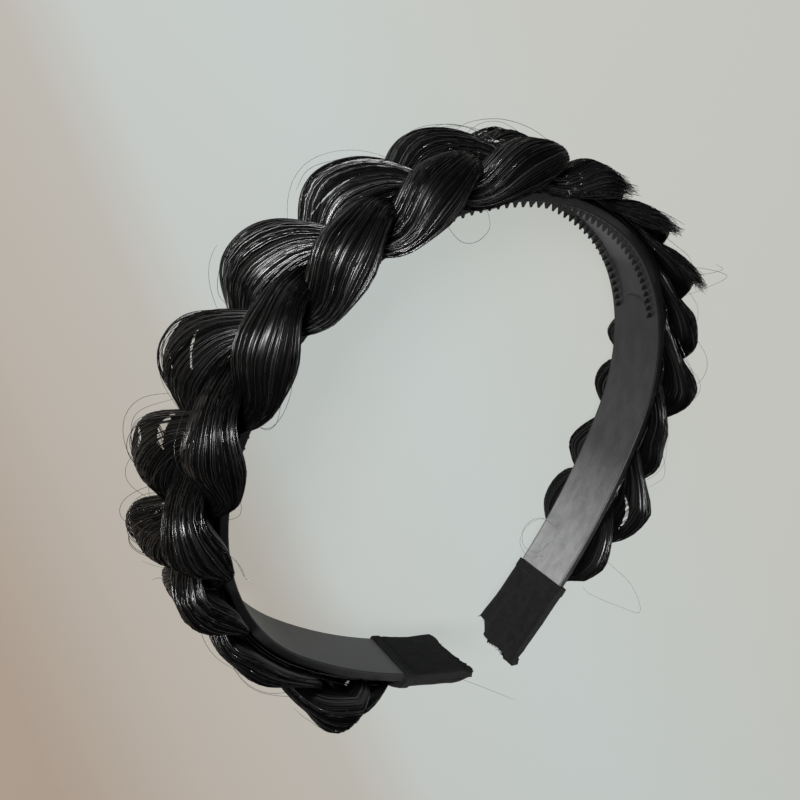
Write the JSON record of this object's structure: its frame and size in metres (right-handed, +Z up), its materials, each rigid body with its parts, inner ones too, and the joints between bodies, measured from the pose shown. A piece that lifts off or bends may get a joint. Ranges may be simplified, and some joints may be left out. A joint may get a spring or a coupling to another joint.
{
  "type": "braided headband",
  "caption": "Springy open arch of black plastic with two rows of teeth inside its crown, covered outside by a flat three-strand plait of black hair, its ends folded in fabric.",
  "frame": {"origin": "on the floor under the middle of the headband, which lies on its side", "axes": "+Y towards the crown, -Y towards the two open ends, -X towards the left end, +Z up, across the width of the band"},
  "size_m": [0.1528, 0.1578, 0.0366],
  "materials": {
    "black_plastic": "satin black moulded plastic, faintly brushed inside",
    "black_hair": "sleek black synthetic hair with fine streaks of light along it",
    "black_fabric": "matt black woven ribbon with a raw cut edge"
  },
  "bodies": {
    "root": {"band": "black_plastic", "strand_1": "black_hair", "strand_2": "black_hair", "strand_3": "black_hair", "left_end_wrap": "black_fabric", "right_end_wrap": "black_fabric"}
  },
  "joints": []
}
